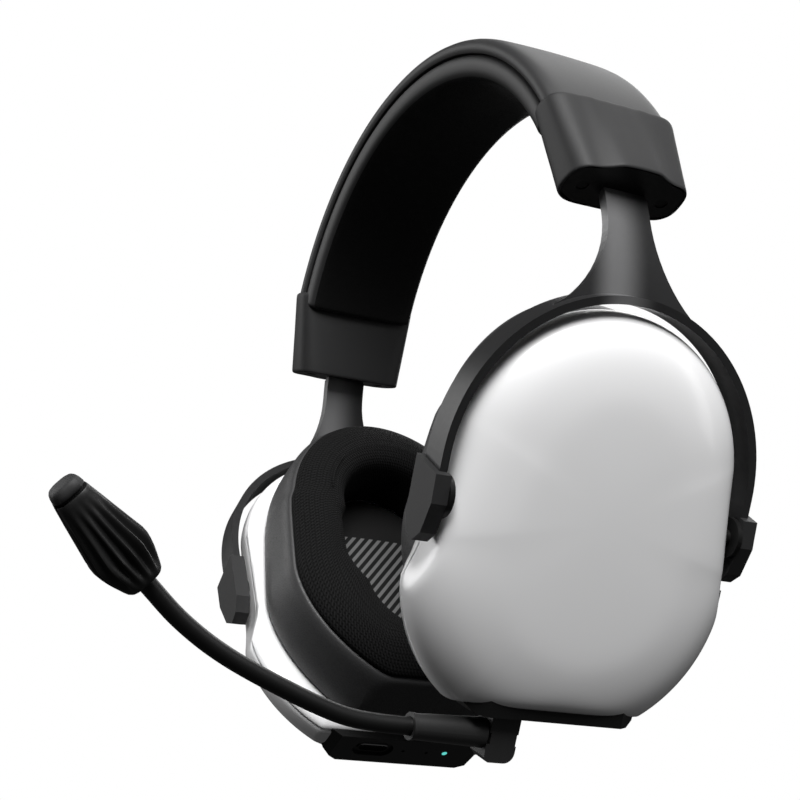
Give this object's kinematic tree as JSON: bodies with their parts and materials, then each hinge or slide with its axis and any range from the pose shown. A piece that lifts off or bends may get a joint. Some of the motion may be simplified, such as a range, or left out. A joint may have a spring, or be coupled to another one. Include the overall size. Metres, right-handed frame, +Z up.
{
  "type": "gaming headset",
  "caption": "Wireless over-ear headset with a padded band, sliding yokes, splayed white oval ear cups, thick mesh-faced cushions and a detachable bent boom microphone.",
  "frame": {"origin": "the middle of the headband pad's underside, where the headset rests on a head or a hook", "axes": "+X is the wearer's left (microphone side), -Y is the front, +Z is up"},
  "size_m": [0.1692, 0.1707, 0.1959],
  "materials": {
    "band_skin": "soft-touch matt, dark grey",
    "pad_leather": "black leatherette",
    "cap_plastic": "fine matt texture, dark grey",
    "black_plastic": "fine matt texture, black",
    "yoke_metal": "satin grey paint",
    "white_shell": "smooth satin white",
    "cushion_leather": "grey leatherette",
    "mesh_fabric": "black sports mesh",
    "speaker_cloth": "black cloth",
    "foam": "grey foam",
    "spring_steel": "bright rolled steel",
    "black_steel": "blackened steel",
    "gold_contact": "plated",
    "cable_jacket": "black",
    "magnet_steel": "plated",
    "diaphragm_film": "thin film",
    "board": "green lacquer",
    "battery_foil": "foil",
    "light_lens": "lit teal"
  },
  "bodies": {
    "headband": {"headband_cover": "band_skin", "headband_pad": "pad_leather", "spring_band": "spring_steel", "band_cable": "cable_jacket", "cap_screws": "black_steel", "left_end_cap": "cap_plastic", "left_slot_plate": "black_plastic", "left_detent_spring": "spring_steel", "right_end_cap": "cap_plastic", "right_slot_plate": "black_plastic", "right_detent_spring": "spring_steel"},
    "left_yoke_body": {"left_yoke": "yoke_metal", "left_pivot_blocks": "cap_plastic", "left_pivot_pins": "black_steel"},
    "right_yoke_body": {"right_yoke": "yoke_metal", "right_pivot_blocks": "cap_plastic", "right_pivot_pins": "black_steel"},
    "left_cup": {"left_cup_shell": "white_shell", "left_cup_housing": "white_shell", "left_plinth": "black_plastic", "left_housing_screws": "black_steel", "left_driver_frame": "black_plastic", "left_driver_magnet": "magnet_steel", "left_driver_diaphragm": "diaphragm_film", "left_ear_cloth": "speaker_cloth", "left_cushion_ring": "black_plastic", "left_cushion_foam": "foam", "left_cushion_side": "cushion_leather", "left_cushion_face": "mesh_fabric", "mic_socket": "magnet_steel", "control_board": "board"},
    "right_cup": {"right_cup_shell": "white_shell", "right_cup_housing": "white_shell", "right_plinth": "black_plastic", "right_housing_screws": "black_steel", "right_driver_frame": "black_plastic", "right_driver_magnet": "magnet_steel", "right_driver_diaphragm": "diaphragm_film", "right_ear_cloth": "speaker_cloth", "right_cushion_ring": "black_plastic", "right_cushion_foam": "foam", "right_cushion_side": "cushion_leather", "right_cushion_face": "mesh_fabric", "usb_socket": "magnet_steel", "charge_light": "light_lens", "battery": "battery_foil"},
    "mic_plug_body": {"mic_plug": "gold_contact"},
    "mic_arm": {"mic_elbow": "black_plastic", "mic_barrel": "black_plastic", "mic_boom_lower": "cable_jacket"},
    "mic_head": {"mic_boom_upper": "cable_jacket", "mic_capsule": "cap_plastic", "mic_tip": "cap_plastic", "mic_element": "magnet_steel"},
    "volume_wheel_body": {"volume_wheel": "cap_plastic"},
    "mute_button_body": {"mute_button": "cap_plastic"},
    "power_button_body": {"power_button": "cap_plastic"}
  },
  "joints": [
    {"name": "left_slide", "type": "slide", "parent": "headband", "child": "left_yoke_body", "axis": [0.2756, 0, -0.9613], "range_m": [0, 0.016]},
    {"name": "right_slide", "type": "slide", "parent": "headband", "child": "right_yoke_body", "axis": [-0.2756, 0, -0.9613], "range_m": [0, 0.016]},
    {"name": "left_cup_tilt", "type": "hinge", "parent": "left_yoke_body", "child": "left_cup", "pos_m": [0.05765, 0, -0.12936], "axis": [0, -1, 0], "range_deg": [-8, 20]},
    {"name": "right_cup_tilt", "type": "hinge", "parent": "right_yoke_body", "child": "right_cup", "pos_m": [-0.05765, 0, -0.12936], "axis": [0, 1, 0], "range_deg": [-8, 20]},
    {"name": "mic_unplug", "type": "slide", "parent": "left_cup", "child": "mic_plug_body", "axis": [-0.4289, 0, -0.9033], "range_m": [0, 0.014]},
    {"name": "mic_turn", "type": "hinge", "parent": "mic_plug_body", "child": "mic_arm", "pos_m": [0.03333, -0.0115, -0.17593], "axis": [0.4289, 0, 0.9033], "range_deg": [-20, 90]},
    {"name": "mic_bend", "type": "hinge", "parent": "mic_arm", "child": "mic_head", "pos_m": [0.03685, -0.075, -0.16852], "axis": [0.9033, 0, -0.4289], "range_deg": [-25, 25]},
    {"name": "volume_turn", "type": "hinge", "parent": "left_cup", "child": "volume_wheel_body", "pos_m": [0.04179, 0.0345, -0.15227], "axis": [0.9033, 0, -0.4289], "range_deg": [-140, 140]},
    {"name": "mute_press", "type": "slide", "parent": "left_cup", "child": "mute_button_body", "axis": [0, -1, 0], "range_m": [0, 0.0008], "stiffness_N_per_m": 400, "springref_m": -0.001},
    {"name": "power_press", "type": "slide", "parent": "right_cup", "child": "power_button_body", "axis": [0, -1, 0], "range_m": [0, 0.0008], "stiffness_N_per_m": 400, "springref_m": -0.001}
  ]
}
